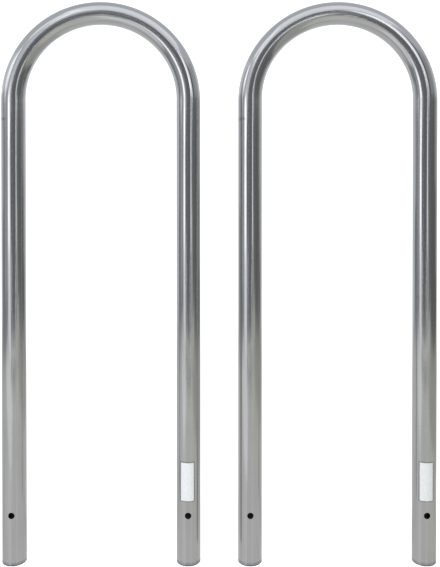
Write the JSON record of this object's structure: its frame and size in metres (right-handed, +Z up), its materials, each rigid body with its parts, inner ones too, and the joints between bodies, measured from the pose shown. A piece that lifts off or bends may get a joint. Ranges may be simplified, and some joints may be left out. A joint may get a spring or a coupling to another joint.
{
  "type": "hoop bike rack",
  "caption": "Inverted-U hoop bike rack of bent stainless steel pipe, with open leg ends and cross-drilled anchor holes for setting in a concrete footing.",
  "frame": {"origin": "level with the leg ends, midway between the two hoops and on the plane of their pipes' centrelines", "axes": "+Z up along the legs, +X along the row of hoops, -Y towards the front, where the labels are"},
  "size_m": [0.8788, 0.0498, 1.1303],
  "materials": {
    "stainless_steel": "satin, polished round the pipe",
    "label_vinyl": "semi-matt printed vinyl, blank"
  },
  "bodies": {
    "root": {"left_hoop": "stainless_steel", "left_hoop_label": "label_vinyl", "right_hoop": "stainless_steel", "right_hoop_label": "label_vinyl"}
  },
  "joints": []
}
